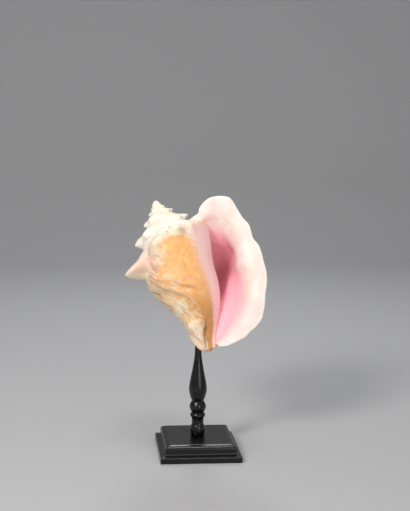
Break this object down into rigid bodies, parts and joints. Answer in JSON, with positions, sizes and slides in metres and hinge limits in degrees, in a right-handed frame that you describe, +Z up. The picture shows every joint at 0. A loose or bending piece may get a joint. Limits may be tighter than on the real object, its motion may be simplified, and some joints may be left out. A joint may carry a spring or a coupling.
{
  "type": "conch shell on stand",
  "caption": "Large conch shell with a knobbed spire and a flared pink lip, standing on a turned dark wooden post over a square stepped base.",
  "frame": {"origin": "centre of the base's underside, on the surface that the stand rests on", "axes": "+Z up along the post, -Y towards the viewer, where the shell's aperture faces, +X towards the flared lip"},
  "size_m": [0.1884, 0.168, 0.3502],
  "materials": {
    "shell": "chalky outside, polished porcelain in the aperture",
    "stand_wood": "satin black"
  },
  "bodies": {
    "root": {"shell": "shell", "post": "stand_wood", "base": "stand_wood"}
  },
  "joints": []
}
